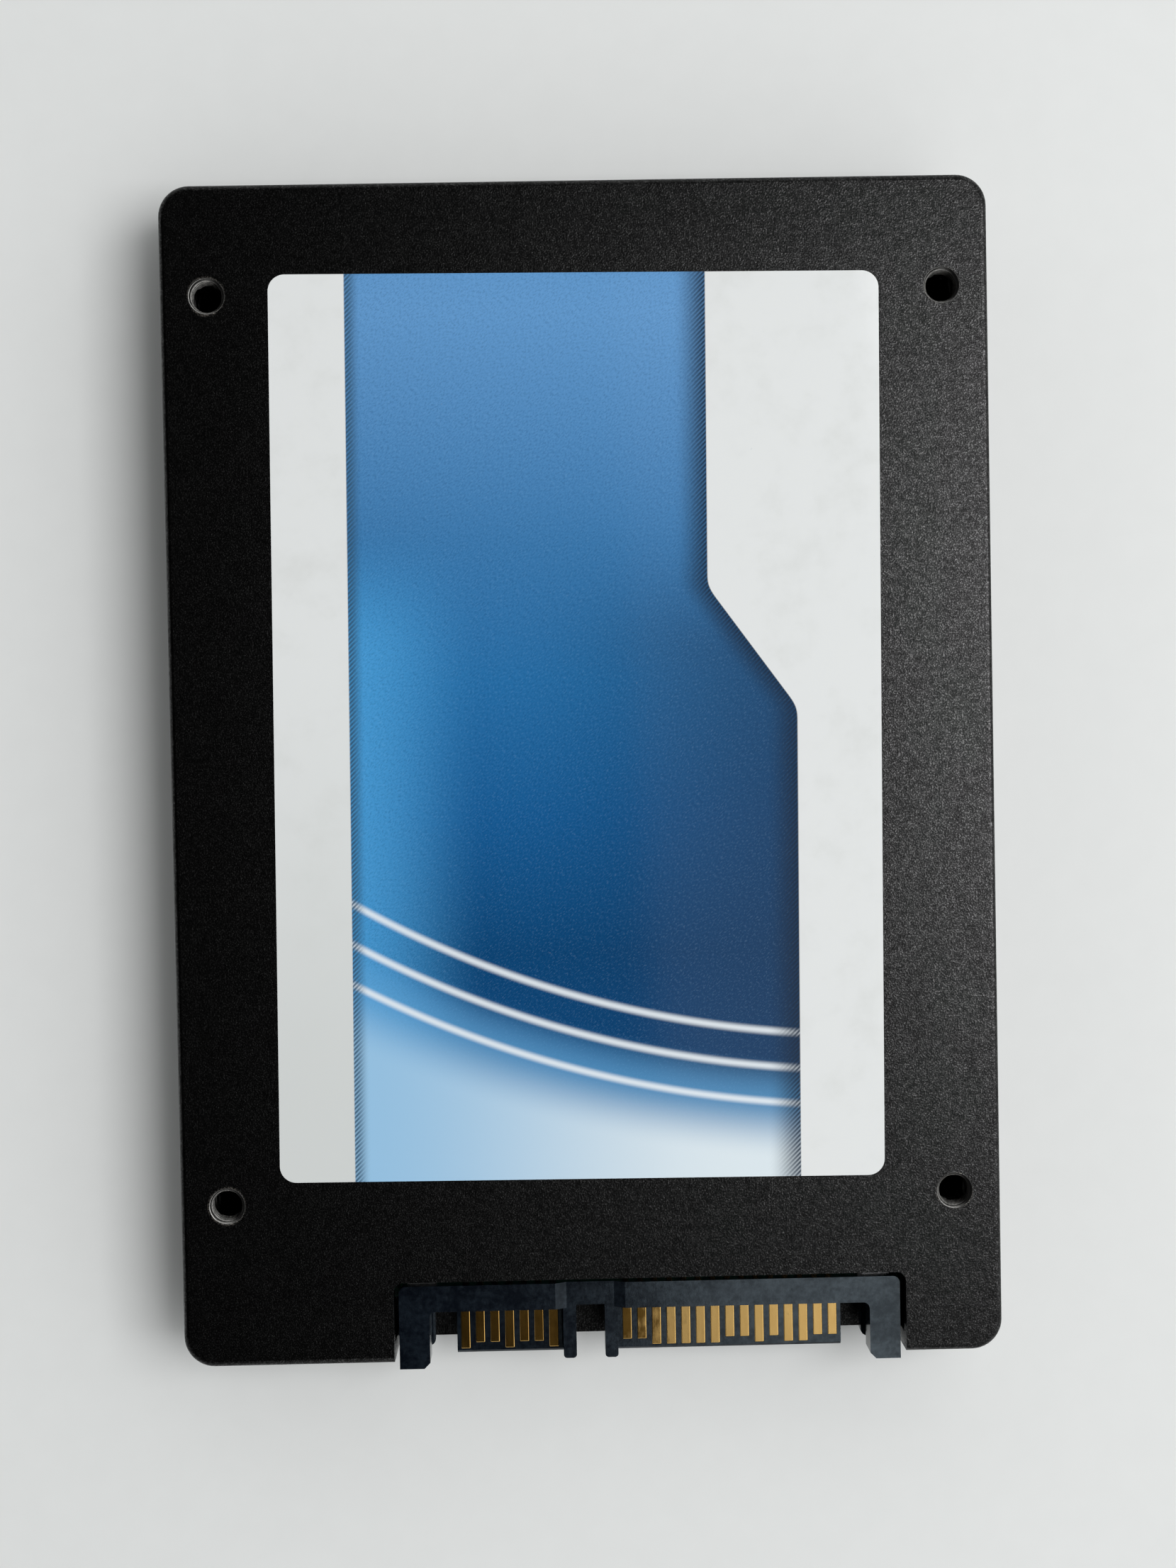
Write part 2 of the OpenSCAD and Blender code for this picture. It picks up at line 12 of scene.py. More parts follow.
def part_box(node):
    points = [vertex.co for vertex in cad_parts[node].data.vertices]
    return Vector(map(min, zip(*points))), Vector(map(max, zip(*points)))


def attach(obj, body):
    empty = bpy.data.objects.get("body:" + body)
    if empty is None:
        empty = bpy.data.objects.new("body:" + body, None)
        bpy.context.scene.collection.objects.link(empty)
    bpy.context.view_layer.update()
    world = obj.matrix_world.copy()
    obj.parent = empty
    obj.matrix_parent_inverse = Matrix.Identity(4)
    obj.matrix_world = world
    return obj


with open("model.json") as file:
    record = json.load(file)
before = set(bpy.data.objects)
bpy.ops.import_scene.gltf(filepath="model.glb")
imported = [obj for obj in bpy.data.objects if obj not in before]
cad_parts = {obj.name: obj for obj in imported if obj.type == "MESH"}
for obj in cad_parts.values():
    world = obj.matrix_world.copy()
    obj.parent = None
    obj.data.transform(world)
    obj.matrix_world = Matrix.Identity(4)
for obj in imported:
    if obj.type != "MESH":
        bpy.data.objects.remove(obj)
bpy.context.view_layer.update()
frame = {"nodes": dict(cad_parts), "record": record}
NODES = frame["nodes"]
MOUNTS = {m["name"]: m for m in frame["record"]["mounts"]}
MM = 0.001
random.seed(7)


# ---------------------------------------------------------------- shader arithmetic

class Val:
    """A number that varies over a surface, held as the output of a shader node."""

    def __init__(self, tree, socket):
        self.tree = tree
        self.socket = socket

    def __add__(self, other):
        return maths(self.tree, "ADD", self, other)

    def __sub__(self, other):
        return maths(self.tree, "SUBTRACT", self, other)

    def __mul__(self, other):
        return maths(self.tree, "MULTIPLY", self, other)

    def __truediv__(self, other):
        return maths(self.tree, "DIVIDE", self, other)

    def __rsub__(self, other):
        return maths(self.tree, "SUBTRACT", other, self)

    def __neg__(self):
        return maths(self.tree, "MULTIPLY", self, -1.0)

    __radd__ = __add__


def feed(tree, socket, value):
    """Sets a node's input from a Val, a socket or a plain constant."""
    if isinstance(value, Val):
        tree.links.new(value.socket, socket)
    elif isinstance(value, bpy.types.NodeSocket):
        tree.links.new(value, socket)
    else:
        socket.default_value = value


def maths(tree, operation, *values):
    node = tree.nodes.new("ShaderNodeMath")
    node.operation = operation
    for socket, value in zip(node.inputs, values):
        feed(tree, socket, value)
    return Val(tree, node.outputs[0])


def smooth(value, low, high):
    """0 below low, 1 above high, with a smooth step between."""
    node = value.tree.nodes.new("ShaderNodeMapRange")
    node.interpolation_type = "SMOOTHSTEP"
    feed(value.tree, node.inputs["Value"], value)
    feed(value.tree, node.inputs["From Min"], low)
    feed(value.tree, node.inputs["From Max"], high)
    return Val(value.tree, node.outputs["Result"])


def least(a, b):
    return maths(a.tree, "MINIMUM", a, b)


def most(a, b):
    return maths(a.tree, "MAXIMUM", a, b)


def soft_least(a, b, rounding):
    return maths(a.tree, "SMOOTH_MIN", a, b, rounding)


def soft_most(a, b, rounding):
    return maths(a.tree, "SMOOTH_MAX", a, b, rounding)


def blend(tree, low, high, share):
    """Colour between low and high, which are colours or colour sockets."""
    node = tree.nodes.new("ShaderNodeMix")
    node.data_type = "RGBA"
    colour_in = [s for s in node.inputs if s.type == "RGBA"]
    feed(tree, node.inputs["Factor"], share)
    feed(tree, colour_in[0], low)
    feed(tree, colour_in[1], high)
    return next(s for s in node.outputs if s.type == "RGBA")


def ramp(value, stops):
    """Colour read from (place, colour) stops."""
    node = value.tree.nodes.new("ShaderNodeValToRGB")
    feed(value.tree, node.inputs["Fac"], value)
    elements = node.color_ramp.elements
    while len(elements) < len(stops):
        elements.new(0.5)
    for element, (place, colour) in zip(elements, stops):
        element.position = place
        element.color = colour
    return node.outputs["Color"]


def srgb(red, green, blue):
    """Linear colour of an 8-bit display colour."""
    linear = [((c / 255 + 0.055) / 1.055) ** 2.4 if c > 10 else c / 255 / 12.92
              for c in (red, green, blue)]
    return (*linear, 1.0)


INK_GAIN = 1.12


def ink(red, green, blue):
    """Reflectance of a printed colour named by how it looks under the studio light."""
    return tuple(min(1.0, c * INK_GAIN) for c in srgb(red, green, blue)[:3]) + (1.0,)


def object_place(tree):
    return tree.nodes.new("ShaderNodeTexCoord").outputs["Object"]


def split(tree, vector):
    node = tree.nodes.new("ShaderNodeSeparateXYZ")
    tree.links.new(vector, node.inputs[0])
    return [Val(tree, s) for s in node.outputs]


def noise(tree, place, size, detail=2.0, roughness=0.5, stretch=(1, 1, 1)):
    """Noise from 0 to 1 whose features are about size metres across."""
    mapping = tree.nodes.new("ShaderNodeMapping")
    tree.links.new(place, mapping.inputs["Vector"])
    mapping.inputs["Scale"].default_value = stretch
    node = tree.nodes.new("ShaderNodeTexNoise")
    tree.links.new(mapping.outputs[0], node.inputs["Vector"])
    node.inputs["Scale"].default_value = 1 / size
    node.inputs["Detail"].default_value = detail
    node.inputs["Roughness"].default_value = roughness
    return Val(tree, node.outputs["Fac"])


def bump(tree, shader, height, distance, strength=1.0):
    """Dents the shader's surface by a height from 0 to 1 that stands for distance."""
    node = tree.nodes.new("ShaderNodeBump")
    node.inputs["Distance"].default_value = distance
    node.inputs["Strength"].default_value = strength
    feed(tree, node.inputs["Height"], height)
    tree.links.new(node.outputs["Normal"], shader.inputs["Normal"])


def new_material(name, metallic=0.0, specular=0.5):
    """A material with its node tree and its surface shader."""
    material = bpy.data.materials.new(name)
    material.use_nodes = True
    tree = material.node_tree
    shader = next(n for n in tree.nodes if n.type == "BSDF_PRINCIPLED")
    shader.inputs["Metallic"].default_value = metallic
    shader.inputs["Specular IOR Level"].default_value = specular
    return material, tree, shader


# ---------------------------------------------------------------- materials

HOLE_R_MM = MOUNTS["face_holes"]["dims"]["hole_r_mm"]
# Depth under the mounting face where the painted shade that blacks out the face holes ends, short of the
# cover's outer face
BELOW_HOLES_MM = 7.0


def hole_place(tree, place):
    """Distance from the nearest face hole's axis and depth below the face, both in millimetres."""
    mount = MOUNTS["face_holes"]
    middle = Vector(mount["pos_m"])
    x, y, z = split(tree, place)
    off_x = maths(tree, "ABSOLUTE", x / MM) - mount["dims"]["spacing_x_mm"] / 2
    off_y = maths(tree, "ABSOLUTE", (y - middle.y) / MM) - mount["dims"]["spacing_y_mm"] / 2
    return maths(tree, "SQRT", off_x * off_x + off_y * off_y), (middle.z - z) / MM


def facing(tree):
    """The surface's outward direction."""
    return split(tree, tree.nodes.new("ShaderNodeNewGeometry").outputs["Normal"])


def powder_coat(name, tint):
    """Near-black powder coat with glinting grain, scraped at the face holes' mouths, and made black with
    no reflection inside the face holes as painted shade.
    """
    material, tree, shader = new_material(name)
    place = object_place(tree)
    grain = noise(tree, place, 0.14 * MM, detail=2, roughness=0.6)
    fine = noise(tree, place, 0.09 * MM, detail=1)
    clumps = smooth(noise(tree, place, 0.42 * MM, detail=2, roughness=0.6), 0.3, 0.7)
    patches = noise(tree, place, 3.0 * MM, detail=2)
    dust = smooth(noise(tree, place, 0.34 * MM, detail=4, roughness=0.8), 0.6, 0.78)
    dark = blend(tree, (tint * 0.5, tint * 0.5, tint * 0.55, 1),
                 (tint * 1.7, tint * 1.68, tint * 1.6, 1), smooth(grain, 0.35, 0.7))
    axis_distance, depth = hole_place(tree, place)
    below_mouth = smooth(depth, 0.1, 0.5)
    # Painted shade: inside the face holes the coat is near-black and does not reflect, standing in for
    # the shade deep in the holes
    painted_hole_shade_span = below_mouth * (1 - smooth(depth, BELOW_HOLES_MM, BELOW_HOLES_MM + 0.5))
    clear_of_painted_hole_shade = most(smooth(axis_distance, HOLE_R_MM + 0.02, HOLE_R_MM + 0.12), 1 - painted_hole_shade_span)
    colour = blend(tree, dark, (tint * 7, tint * 6.6, tint * 5.6, 1), dust * 0.7)
    near_mouth = 1 - smooth(axis_distance + patches * 0.5, HOLE_R_MM + 0.22, HOLE_R_MM + 0.42)
    scraped = near_mouth * smooth(fine * 0.5 + grain * 0.5, 0.44, 0.6) * (1 - below_mouth)
    colour = blend(tree, colour, (0.11, 0.1, 0.088, 1), scraped * 0.7)
    feed(tree, shader.inputs["Base Color"], blend(tree, (0.0004, 0.0004, 0.0004, 1), colour, clear_of_painted_hole_shade))
    feed(tree, shader.inputs["Specular IOR Level"],
         (smooth(grain, 0.5, 0.66) * 0.42 + 0.17) * (clumps * 0.7 + 0.7) * clear_of_painted_hole_shade)
    feed(tree, shader.inputs["Roughness"], 0.2 + fine * 0.05 + patches * 0.04)
    bump(tree, shader, grain + fine * 0.3, 0.017 * MM)
    return material


def cut_thread(name):
    """Cut thread with painted light and shade: bright ridges and dark grooves, painted shade deep in a
    hole and where it faces -X, and painted light near the side holes' outer ends.
    """
    material, tree, shader = new_material(name, metallic=1.0)
    place = object_place(tree)
    x, _, _ = split(tree, place)
    axis_distance, depth = hole_place(tree, place)
    outwards = maths(tree, "ABSOLUTE", x) / MM
    case_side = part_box("case_shell")[1].x / MM
    turned, _, _ = facing(tree)
    past_face_hole = smooth(axis_distance, HOLE_R_MM + 0.04, HOLE_R_MM + 0.06)
    in_side_hole = most(past_face_hole, smooth(outwards, case_side - 1.6, case_side - 1.4))
    ridge = 1 - smooth(axis_distance, HOLE_R_MM - 0.22, HOLE_R_MM - 0.08)
    mouth = 1 - smooth(depth, 0.1, 0.25)
    shallow = 1 - smooth(depth, 2.4, 3.4)
    # Painted light and shade: ridges and mouths bright, grooves dark, darker deep down and where the
    # surface faces -X
    painted_face_hole_light = most(ridge, mouth * 0.5) * shallow * (smooth(turned, -0.55, 0.1) * 0.97 + 0.03)
    # Painted light: the side-hole threads are bright towards their outer ends
    painted_side_hole_light = smooth(outwards, case_side - 2.6, case_side - 1.0) * 0.6
    streak = noise(tree, place, 0.22 * MM, detail=4, roughness=0.75)
    shade = painted_face_hole_light * (1 - in_side_hole) + painted_side_hole_light * in_side_hole
    shade = shade * (smooth(streak, 0.25, 0.7) * 0.6 + 0.4)
    feed(tree, shader.inputs["Base Color"],
         blend(tree, (0.004, 0.004, 0.004, 1), (0.86, 0.84, 0.81, 1), shade))
    feed(tree, shader.inputs["Roughness"], 0.34 + streak * 0.2)
    bump(tree, shader, streak, 0.01 * MM, 0.6)
    return material


def scraped_coat(name):
    """Coat at a hole's mouth, broken through to bright metal in small patches."""
    material, tree, shader = new_material(name)
    place = object_place(tree)
    worn = smooth(noise(tree, place, 1.4 * MM, detail=1), 0.48, 0.62)
    chips = smooth(noise(tree, place, 0.16 * MM, detail=3, roughness=0.7), 0.5, 0.64) * worn * 0.7
    feed(tree, shader.inputs["Base Color"],
         blend(tree, (0.003, 0.003, 0.003, 1), (0.34, 0.32, 0.29, 1), chips))
    feed(tree, shader.inputs["Metallic"], chips)
    feed(tree, shader.inputs["Roughness"], 0.5 - chips * 0.1)
    bump(tree, shader, chips, 0.01 * MM)
    return material


def connector_plastic(name):
    """Blue-black plastic with cloudy mottling and rubbed streaks, its reflection turned down by a painted
    shade on faces that don't point up.
    """
    material, tree, shader = new_material(name)
    place = object_place(tree)
    mottle = noise(tree, place, 0.5 * MM, detail=5, roughness=0.7)
    streaks = noise(tree, place, 0.22 * MM, detail=4, roughness=0.7, stretch=(1, 0.15, 1))
    clouds = noise(tree, place, 2.4 * MM, detail=4, roughness=0.6)
    base = blend(tree, (0.0016, 0.0026, 0.0052, 1), (0.0062, 0.0098, 0.0150, 1),
                 smooth(mottle * 0.6 + clouds * 0.4, 0.4, 0.66))
    colour = blend(tree, base, (0.017, 0.023, 0.03, 1), smooth(streaks, 0.6, 0.8) * 0.6)
    feed(tree, shader.inputs["Base Color"], colour)
    # Painted shade: faces that don't point up reflect less
    _, _, turned_up = facing(tree)
    painted_shade_reflection_level = smooth(turned_up, 0.9, 0.97) * 0.75 + 0.25
    feed(tree, shader.inputs["Specular IOR Level"],
         (smooth(clouds * 0.5 + mottle * 0.5, 0.35, 0.65) * 0.7 + 0.85) * painted_shade_reflection_level)
    shader.inputs["Specular Tint"].default_value = (0.76, 0.9, 1.0, 1)
    feed(tree, shader.inputs["Roughness"], 0.11 + mottle * 0.06)
    bump(tree, shader, mottle + streaks * 0.4, 0.006 * MM, 0.5)
    return material


def gold(name, wear, roughness, worn_shade):
    """Gold plating whose upward face plugs have rubbed brown, by a wear from 0 to 1, most towards -X."""
    material, tree, shader = new_material(name, metallic=1.0)
    place = object_place(tree)
    x, _, _ = split(tree, place)
    rub = noise(tree, place, 0.5 * MM, detail=4, roughness=0.65, stretch=(1, 0.3, 1))
    stain = noise(tree, place, 1.3 * MM, detail=3)
    clean = blend(tree, (0.77, 0.47, 0.15, 1), (0.86, 0.57, 0.21, 1), rub)
    worn = blend(tree, tuple(c * worn_shade for c in (0.2, 0.1, 0.016)) + (1,),
                 tuple(c * worn_shade for c in (0.46, 0.26, 0.06)) + (1,), stain)
    left = 1 - smooth(x, 2 * MM, 10 * MM)
    share = smooth(rub * 0.6 + stain * 0.4 + left * 0.42, 0.66 - 0.4 * wear, 0.94 - 0.3 * wear)
    _, _, turned_up = facing(tree)
    share = share * smooth(turned_up, 0.93, 0.99)
    feed(tree, shader.inputs["Base Color"], blend(tree, clean, worn, share))
    feed(tree, shader.inputs["Roughness"], roughness + rub * 0.06)
    bump(tree, shader, rub, 0.003 * MM, 0.5)
    return material


def tinned_metal(name, shade, roughness):
    """Plated or blackened metal with a faint grain, as bright as shade."""
    material, tree, shader = new_material(name, metallic=1.0)
    place = object_place(tree)
    grain = noise(tree, place, 0.25 * MM, detail=4, roughness=0.6)
    feed(tree, shader.inputs["Base Color"],
         blend(tree, (shade * 0.75, shade * 0.75, shade * 0.76, 1), (shade, shade, shade, 1), grain))
    feed(tree, shader.inputs["Roughness"], roughness + grain * 0.15)
    bump(tree, shader, grain, 0.006 * MM, 0.5)
    return material


def moulded(name, colour, roughness, grain_mm=0.2):
    """Plain moulded or fired body with a fine even grain."""
    material, tree, shader = new_material(name, specular=0.4)
    place = object_place(tree)
    grain = noise(tree, place, grain_mm * MM, detail=3, roughness=0.6)
    low = tuple(c * 0.8 for c in colour) + (1,)
    high = tuple(min(1, c * 1.2) for c in colour) + (1,)
    feed(tree, shader.inputs["Base Color"], blend(tree, low, high, grain))
    feed(tree, shader.inputs["Roughness"], roughness + grain * 0.12)
    bump(tree, shader, grain, 0.006 * MM, 0.5)
    return material


TRACK_PITCH = 0.625 * MM
TRACK_WANDER = 9


def solder_mask(name):
    """Green board lacquer over copper tracks, which show as slightly lighter lines."""
    material, tree, shader = new_material(name, specular=0.5)
    place = object_place(tree)
    x, y, _ = split(tree, place)
    warp = noise(tree, place, 6 * MM, detail=0)
    lines = maths(tree, "PINGPONG", x / TRACK_PITCH + warp * TRACK_WANDER, 0.5)
    rows = maths(tree, "PINGPONG", y / TRACK_PITCH - warp * TRACK_WANDER, 0.5)
    zone = smooth(noise(tree, place, 9 * MM, detail=1), 0.5, 0.54)
    tracks = smooth(lines * zone + rows * (1 - zone), 0.3, 0.36)
    feed(tree, shader.inputs["Base Color"],
         blend(tree, (0.006, 0.075, 0.045, 1), (0.012, 0.13, 0.075, 1), tracks))
    feed(tree, shader.inputs["Roughness"], 0.3 + tracks * 0.08)
    bump(tree, shader, tracks, 0.02 * MM, 0.4)
    return material


# ---------------------------------------------------------------- the printed label

LABEL_SKEW = math.radians(-0.48)
LABEL_CORNER_MM = 1.4

# Outline of the printed panel, from the label's lower left corner: its left edge, its right edge
# above and below the step, and the heights where the step starts and ends
PRINT_X_MM = 6.35
PRINT_TOP_X_MM = 36.65
PRINT_LOW_X_MM = 44.15
STEP_TOP_MM = 50.0
STEP_LOW_MM = 39.8
STEP_ROUNDING_MM = 0.9
PANEL_TOP_MM = 77.0

# Plain arcs near the panel's foot
ARC_CENTRE_MM = (50.0, 100.0)
ARC_RADII_MM = (88.0, 91.0, 94.0)
ARC_WIDTH_MM = 0.5

HATCHES_PER_MM = 2.6


def label_place(tree):
    """(u, v) in millimetres on the front label, from its lower left corner."""
    low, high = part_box("front_label")
    centre = (low + high) / 2
    width_mm, length_mm = label_size_mm()
    turn = Matrix.Rotation(-LABEL_SKEW, 4, "Z")
    shift = -(turn @ Vector((centre.x, centre.y, 0))) / MM
    mapping = tree.nodes.new("ShaderNodeMapping")
    tree.links.new(object_place(tree), mapping.inputs["Vector"])
    mapping.inputs["Scale"].default_value = (1 / MM, 1 / MM, 1 / MM)
    mapping.inputs["Rotation"].default_value = (0, 0, -LABEL_SKEW)
    mapping.inputs["Location"].default_value = (shift.x + width_mm / 2, shift.y + length_mm / 2, 0)
    u, v, _ = split(tree, mapping.outputs[0])
    return u, v


def label_size_mm():
    """The front label's own width and length, worked back from the box of the skewed label."""
    low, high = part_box("front_label")
    span_x, span_y = (high.x - low.x) / MM, (high.y - low.y) / MM
    c, s = math.cos(LABEL_SKEW), abs(math.sin(LABEL_SKEW))
    lost_at_corners = LABEL_CORNER_MM * (c + s - 1) * 2
    span_x += lost_at_corners
    span_y += lost_at_corners
    return (span_x * c - span_y * s) / (c * c - s * s), (span_y * c - span_x * s) / (c * c - s * s)


def glow(height, half_width):
    """1 on a curve, falling softly to 0 at half_width either side."""
    return 1 - smooth(maths(height.tree, "ABSOLUTE", height), 0.0, half_width)


def strokes(tree, u, v, size_mm):
    """Noise from 0 to 1 drawn out into short strokes that rise to the right."""
    node = tree.nodes.new("ShaderNodeCombineXYZ")
    feed(tree, node.inputs["X"], (u - v) / size_mm)
    feed(tree, node.inputs["Y"], (u + v) * 0.3 / size_mm)
    return noise(tree, node.outputs[0], 1.0, detail=2, roughness=0.6)


def panel_edges(u, v):
    """Millimetres inwards from the left and right edges of the stepped printed panel."""
    slope = (PRINT_LOW_X_MM - PRINT_TOP_X_MM) / (STEP_TOP_MM - STEP_LOW_MM)
    slant = PRINT_TOP_X_MM + (STEP_TOP_MM - v) * slope
    right = soft_most(slant, PRINT_TOP_X_MM, STEP_ROUNDING_MM)
    return u - PRINT_X_MM, soft_least(right, PRINT_LOW_X_MM, STEP_ROUNDING_MM) - u


def panel_field(tree, u, v):
    """Blue that deepens downwards and to the right, with a lighter left edge."""
    field = ramp(v / PANEL_TOP_MM, [
        (0.0, ink(20, 72, 122)), (0.25, ink(13, 66, 112)), (0.4, ink(24, 88, 143)),
        (0.55, ink(38, 106, 161)), (0.7, ink(58, 116, 167)), (0.95, ink(94, 146, 196))])
    low_part = 1 - smooth(v, 44, 56)
    field = blend(tree, field, ink(14, 50, 84), smooth(u, 17, 46) * low_part * 0.78)
    left_light = (1 - smooth(u, 6, 18)) * low_part
    return blend(tree, field, ink(72, 152, 208), left_light * 0.9)


def panel_arcs(tree, u, v, colour):
    """Plain decoration: evenly spaced circular arcs of light over a pale foot."""
    off_u = u - ARC_CENTRE_MM[0]
    off_v = v - ARC_CENTRE_MM[1]
    radius = maths(tree, "SQRT", off_u * off_u + off_v * off_v)
    below = radius - ARC_RADII_MM[-1]
    colour = blend(tree, colour, ink(96, 160, 208), smooth(below, -4, 0) * 0.6)
    foot = blend(tree, ink(150, 190, 220), ink(218, 227, 231), smooth(u, 6, 40))
    colour = blend(tree, colour, foot, smooth(below, -0.3, 5) * 0.92)
    for arc_radius in ARC_RADII_MM:
        colour = blend(tree, colour, ink(226, 232, 236), glow(radius - arc_radius, ARC_WIDTH_MM) * 0.85)
    return colour


def printed_label(name):
    """White film with a stepped blue panel, a plain pattern of arcs and a halftone grain."""
    material, tree, shader = new_material(name, specular=0.4)
    place = object_place(tree)
    u, v = label_place(tree)
    from_left, from_right = panel_edges(u, v)
    inside = smooth(from_left, -0.05, 0.07) * smooth(from_right, -0.05, 0.07)

    # Fine halftone grain over the blue field, and the arcs over both
    colour = panel_field(tree, u, v)
    speckle = noise(tree, place, 0.16 * MM, detail=2, roughness=0.6)
    dot = strokes(tree, u, v, 0.13) * 0.6 + speckle * 0.4
    colour = blend(tree, colour, ink(10, 36, 70), smooth(dot, 0.48, 0.62) * 0.22)
    colour = blend(tree, colour, ink(150, 186, 214), (1 - smooth(dot, 0.36, 0.48)) * 0.08)
    colour = panel_arcs(tree, u, v, colour)

    # The print breaks into dark hatching at its two long edges
    hatch = maths(tree, "PINGPONG", (u - v) * HATCHES_PER_MM, 0.5) * 2
    lines = smooth(hatch, 0.2, 0.75)
    edge_left = 1 - smooth(from_left + hatch * 0.25, 0.4, 1.5)
    edge_right = 1 - smooth(from_right + hatch * 0.3, 0.1, 3.0)
    colour = blend(tree, colour, ink(50, 78, 102), edge_left * (0.36 + lines * 0.54))
    colour = blend(tree, colour, ink(14, 34, 56), edge_right * (0.55 + lines * 0.42))

    # Bare film, with the faint soiling and rubs of a used label, and a painted shade that darkens it
    # towards the lower left
    dirt = noise(tree, place, 5 * MM, detail=4, roughness=0.6)
    film = blend(tree, srgb(228, 230, 230), srgb(220, 222, 221), smooth(dirt, 0.45, 0.8))
    # Painted shade: the film is darker towards the lower left
    painted_shade_low_left = (1 - smooth(v, 4, 50)) * (1 - smooth(u, 6, 44))
    film = blend(tree, film, srgb(212, 215, 214), painted_shade_low_left)
    scuff = smooth(noise(tree, place, 0.7 * MM, detail=3), 0.77, 0.84)
    colour = blend(tree, film, colour, inside)
    colour = blend(tree, colour, srgb(176, 186, 196), scuff * 0.35)
    feed(tree, shader.inputs["Base Color"], colour)
    ripple = noise(tree, place, 0.35 * MM, detail=2)
    feed(tree, shader.inputs["Roughness"], 0.04 + ripple * 0.02 + dirt * 0.04)
    bump(tree, shader, ripple, 0.0008 * MM, 0.6)
    return material


BACK_MARGIN_MM = 2.2


def plain_back_label(name):
    """Matte white paper with a thin printed frame, three rules and an empty blue band."""
    material, tree, shader = new_material(name, specular=0.3)
    place = object_place(tree)
    _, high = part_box("back_label")
    x, y, _ = split(tree, place)
    u = maths(tree, "ABSOLUTE", x / MM)
    v = y / MM
    half_w, half_l = high.x / MM, high.y / MM
    to_side = half_w - BACK_MARGIN_MM - u
    to_end = half_l - BACK_MARGIN_MM - maths(tree, "ABSOLUTE", v)

    def rule(distance, half_width=0.12):
        return 1 - smooth(maths(tree, "ABSOLUTE", distance), half_width, half_width + 0.05)

    within = smooth(to_side, -0.2, 0.0) * smooth(to_end, -0.2, 0.0)
    frame_lines = most(rule(to_side), rule(to_end))
    rows = most(rule(v - 18.0), most(rule(v + 8.0), rule(v + 20.0)))
    band = smooth(v, 22.0, 22.1) * (1 - smooth(v, 30.0, 30.1)) * (1 - smooth(u, half_w - 5.1, half_w - 5))
    dirt = noise(tree, place, 4 * MM, detail=4)
    paper = blend(tree, (0.72, 0.72, 0.7, 1), (0.8, 0.8, 0.79, 1), dirt)
    printed = least(most(frame_lines, rows) * within, 1.0)
    colour = blend(tree, paper, (0.12, 0.13, 0.15, 1), printed * 0.8)
    colour = blend(tree, colour, (0.03, 0.12, 0.28, 1), band * 0.9)
    feed(tree, shader.inputs["Base Color"], colour)
    fibre = noise(tree, place, 0.15 * MM, detail=3)
    feed(tree, shader.inputs["Roughness"], 0.55 + fibre * 0.2)
    bump(tree, shader, fibre, 0.005 * MM, 0.5)
    return material


# ---------------------------------------------------------------- finishing the CAD nodes

WELD_DISTANCE = 0.002 * MM
FLAT_ANGLE = math.radians(0.5)
EDGE_ANGLE = math.radians(35)


def finish_node(name, material, edge_mm=0.0, segments=2):
    """Gives a CAD node its material and, with edge_mm, softened edges."""
    node = NODES[name]
    node.data.materials.clear()
    node.data.materials.append(material)
    if not edge_mm:
        return
    weld = node.modifiers.new("weld", "WELD")
    weld.merge_threshold = WELD_DISTANCE
    flat = node.modifiers.new("flat", "DECIMATE")
    flat.decimate_type = "DISSOLVE"
    flat.angle_limit = FLAT_ANGLE
    bevel = node.modifiers.new("edges", "BEVEL")
    bevel.width = edge_mm * MM
    bevel.segments = segments
    bevel.limit_method = "ANGLE"
    bevel.angle_limit = EDGE_ANGLE
    bevel.harden_normals = True


# ---------------------------------------------------------------- screw threads

THREAD_PITCH = 0.5 * MM
THREAD_DEPTH = 0.25 * MM
THREAD_STEPS = 56
STEPS_PER_PITCH = 8
RIDGE_FULLNESS = 0.8
SLEEVE_WALL = 0.04 * MM
CUTTER_SEGMENTS = 60


def threaded_sleeve(name, radius, depth):
    """Internal thread along -Z from the mouth at z = 0, as a closed thin-walled sleeve."""
    mesh = bmesh.new()
    rows = round(depth / THREAD_PITCH * STEPS_PER_PITCH)
    inner, outer = [], []
    for row in range(rows + 1):
        z = -depth * row / rows
        fade = min(1.0, -z / (0.5 * THREAD_PITCH))
        ring = []
        for step in range(THREAD_STEPS):
            turn = step / THREAD_STEPS
            phase = (z / THREAD_PITCH + turn) % 1.0
            ridge = 1 - abs(2 * phase - 1)
            r = radius - THREAD_DEPTH * fade * ridge ** RIDGE_FULLNESS
            angle = 2 * math.pi * turn
            ring.append(mesh.verts.new((r * math.cos(angle), r * math.sin(angle), z)))
        inner.append(ring)
    for z in (0.0, -depth):
        r = radius + SLEEVE_WALL
        outer.append([mesh.verts.new((r * math.cos(a), r * math.sin(a), z))
                      for a in (2 * math.pi * k / THREAD_STEPS for k in range(THREAD_STEPS))])
    for k in range(THREAD_STEPS):
        n = (k + 1) % THREAD_STEPS
        for row in range(rows):
            mesh.faces.new((inner[row][k], inner[row][n], inner[row + 1][n], inner[row + 1][k]))
        mesh.faces.new((outer[0][n], outer[0][k], outer[1][k], outer[1][n]))
        mesh.faces.new((inner[0][n], inner[0][k], outer[0][k], outer[0][n]))
        mesh.faces.new((inner[rows][k], inner[rows][n], outer[1][n], outer[1][k]))
    bmesh.ops.recalc_face_normals(mesh, faces=mesh.faces)
    return mesh_object(name, mesh)


def mesh_object(name, mesh):
    data = bpy.data.meshes.new(name)
    mesh.to_mesh(data)
    mesh.free()
    item = bpy.data.objects.new(name, data)
    bpy.context.scene.collection.objects.link(item)
    return item


